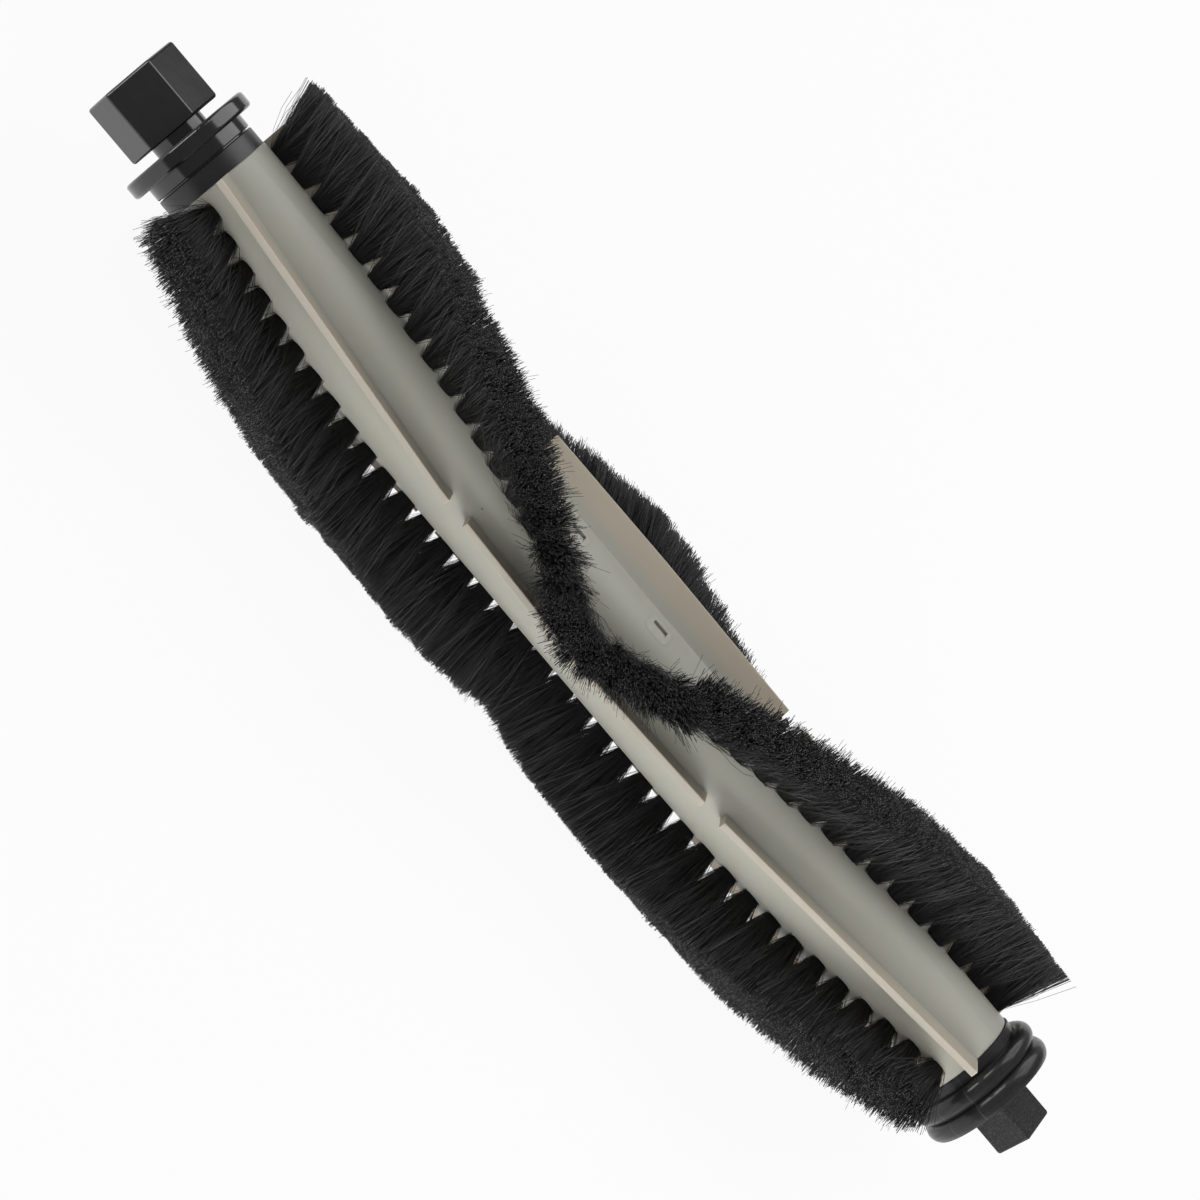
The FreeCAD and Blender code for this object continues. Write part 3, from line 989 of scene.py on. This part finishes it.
@dataclass
class FrameDress:
    """The CAD nodes that stay as they are, and what they wear."""

    nodes: dict[str, bpy.types.Object]

    def dress(self) -> None:
        """Gives each kept node its procedural material."""
        wire = WIRE_FINISH.material()
        worn = {
            "roller_core": CORE_FINISH.material(),
            "drive_end_cap": DRIVE_CAP_FINISH.material(),
            "idle_end_cap": IDLE_CAP_FINISH.material(),
            "bearing_block": BLOCK_FINISH.material(),
            "axle_pin": STEEL_FINISH.material(),
            "bearing_bush": BRONZE_FINISH.material(),
            "thrust_washer": WASHER_FINISH.material(),
        }
        for name, node in self.nodes.items():
            material = wire if name.startswith("anchors") else worn.get(name)
            if material is None:
                continue
            node.data.materials.clear()
            node.data.materials.append(material)
            LOG.info("%s wears %s", name, material.name)


@dataclass(frozen=True)
class Viewpoint:
    """The photograph's camera: its lens, how the roller lies across the picture, and how far off it is."""

    focal_px: float = 5223.24
    frame_px: float = 1200.0
    sensor_mm: float = 36.0
    across: float = 49.81
    away: float = 6.66
    lift: float = 43.85
    offset: tuple[float, float, float] = (-0.824 * MM, 3.185 * MM, 674.153 * MM)
    nearest: float = 0.01

    def build(self) -> None:
        """Adds the camera and sets it as the scene's."""
        across, away, lift = (math.radians(angle) for angle in (self.across, self.away, self.lift))
        along_seen = Vector((math.cos(away) * math.cos(across), math.cos(away) * math.sin(across),
                             math.sin(away)))
        side_seen = Vector((-math.sin(across), math.cos(across), 0.0))
        near_seen = side_seen.cross(along_seen)
        near = Vector((0.0, -math.sin(lift), math.cos(lift)))
        side = AXIS.cross(near)
        right, down, ahead = (AXIS * along_seen[k] + side * side_seen[k] + near * near_seen[k]
                              for k in range(3))
        spot = MID_CORE - right * self.offset[0] - down * self.offset[1] - ahead * self.offset[2]
        data = bpy.data.cameras.new("photo_camera")
        data.sensor_width = self.sensor_mm
        data.lens = self.focal_px / self.frame_px * self.sensor_mm
        data.clip_start = self.nearest
        camera = bpy.data.objects.new("photo_camera", data)
        turn = Matrix((right, -down, -ahead)).transposed().to_4x4()
        camera.matrix_world = Matrix.Translation(spot) @ turn
        bpy.context.scene.collection.objects.link(camera)
        bpy.context.scene.camera = camera


@dataclass(frozen=True)
class Softbox:
    """One rectangular lamp that looks at the roller.

    A mirrored one shows in glossy surfaces, and one that lights brightens matt ones.
    """

    name: str
    aim: tuple[float, float, float]
    distance: float
    width: float
    height: float
    power: float
    upright: tuple[float, float, float] = (0.0, 0.0, 1.0)
    mirrored: bool = True
    lights: bool = True

    def build(self) -> None:
        """Adds the lamp."""
        data = bpy.data.lights.new(self.name, "AREA")
        data.shape = "RECTANGLE"
        data.size = self.width
        data.size_y = self.height
        data.energy = self.power
        lamp = bpy.data.objects.new(self.name, data)
        back = Vector(self.aim).normalized()
        side = Vector(self.upright).cross(back).normalized()
        turn = Matrix((side, back.cross(side), back)).transposed().to_4x4()
        lamp.matrix_world = Matrix.Translation(MID_CORE + back * self.distance) @ turn
        lamp.visible_glossy = self.mirrored
        lamp.visible_diffuse = self.lights
        bpy.context.scene.collection.objects.link(lamp)


@dataclass
class Studio:
    """White floor, soft lamps, pale surroundings and the camera."""

    floor_half: float = 4.0
    surround: float = 0.26
    mirrored_surround: float = 0.19
    floor_tint: Colour = (0.82, 0.82, 0.82)
    floor_white: float = 0.93
    lamps: tuple[Softbox, ...] = (
        Softbox("top_back_panel", (-0.25, 0.55, 0.78), 0.63, 0.6, 0.62, 2.3, lights=False),
        Softbox("top_back_softbox", (0.3, 0.5, 0.78), 0.63, 0.6, 0.62, 2.1, mirrored=False),
        Softbox("front_softbox", (0.5, -0.63, 0.5), 0.7, 0.4, 0.4, 1.3, mirrored=False),
        Softbox("left_softbox", (-0.6, -0.78, 0.08), 0.7, 0.5, 0.14, 0.3, mirrored=False),
        Softbox("right_softbox", (0.75, -0.65, 0.08), 0.6, 0.5, 0.14, 2.5, mirrored=False),
        Softbox("left_strip", (-0.8, -0.416, 0.433), 0.7, 0.25, 0.6, 2.4, upright=(0.0, 0.721, 0.693),
                lights=False),
    )

    def build(self) -> None:
        """Sets up everything that isn't part of the object."""
        bpy.context.scene.view_settings.view_transform = "Standard"
        self.floor()
        self.world()
        for lamp in self.lamps:
            lamp.build()
        Viewpoint().build()

    def seen(self, graph: Graph) -> Value:
        """1 for rays from the camera and for mirrored or passed-through ones, else 0."""
        path = graph.node("ShaderNodeLightPath", out="Is Camera Ray").socket.node.outputs
        camera, glossy, through = (Value(graph, path[name]) for name in
                                   ("Is Camera Ray", "Is Glossy Ray", "Is Transmission Ray"))
        return graph.maths("MINIMUM", camera + glossy + through, 1.0)

    def floor(self) -> None:
        """A plain white floor that keeps a faint shadow."""
        bm = bmesh.new()
        bmesh.ops.create_grid(bm, x_segments=1, y_segments=1, size=self.floor_half,
                              matrix=Matrix.Translation((MID_CORE.x, 0.0, FLOOR_Z)))
        mesh = bpy.data.meshes.new("floor")
        bm.to_mesh(mesh)
        bm.free()
        floor = bpy.data.objects.new("floor", mesh)
        bpy.context.scene.collection.objects.link(floor)
        material = bpy.data.materials.new("floor_white")
        material.use_nodes = True
        graph = Graph(material.node_tree)
        matt = graph.node("ShaderNodeBsdfDiffuse", inputs={"Color": self.floor_tint})
        glow = graph.node("ShaderNodeEmission", inputs={"Color": (1.0, 1.0, 1.0), "Strength": 1.0})
        share = self.seen(graph) * self.floor_white
        mixed = graph.node("ShaderNodeMixShader", inputs={0: share, 1: matt, 2: glow})
        graph.node("ShaderNodeOutputMaterial", inputs={"Surface": mixed})
        mesh.materials.append(material)

    def world(self) -> None:
        """Even soft light from all round, white to the camera."""
        world = bpy.data.worlds.new("pale_room")
        bpy.context.scene.world = world
        world.use_nodes = True
        graph = Graph(world.node_tree)
        path = graph.node("ShaderNodeLightPath").socket.node.outputs
        camera, glossy = Value(graph, path["Is Camera Ray"]), Value(graph, path["Is Glossy Ray"])
        dimmed = glossy * (self.surround - self.mirrored_surround)
        strength = self.surround + camera * (1.0 - self.surround) - dimmed
        white = graph.node("ShaderNodeBackground", inputs={"Color": (1.0, 1.0, 1.0), "Strength": strength})
        graph.node("ShaderNodeOutputWorld", inputs={"Surface": white})


def main() -> None:
    """Builds the scene round the frame."""
    logging.basicConfig(level=logging.INFO, format="%(name)s: %(message)s")
    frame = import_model()
    Studio().build()
    FrameDress(frame["nodes"]).dress()
    BristleRows().build()


if __name__ == "__main__":
    main()
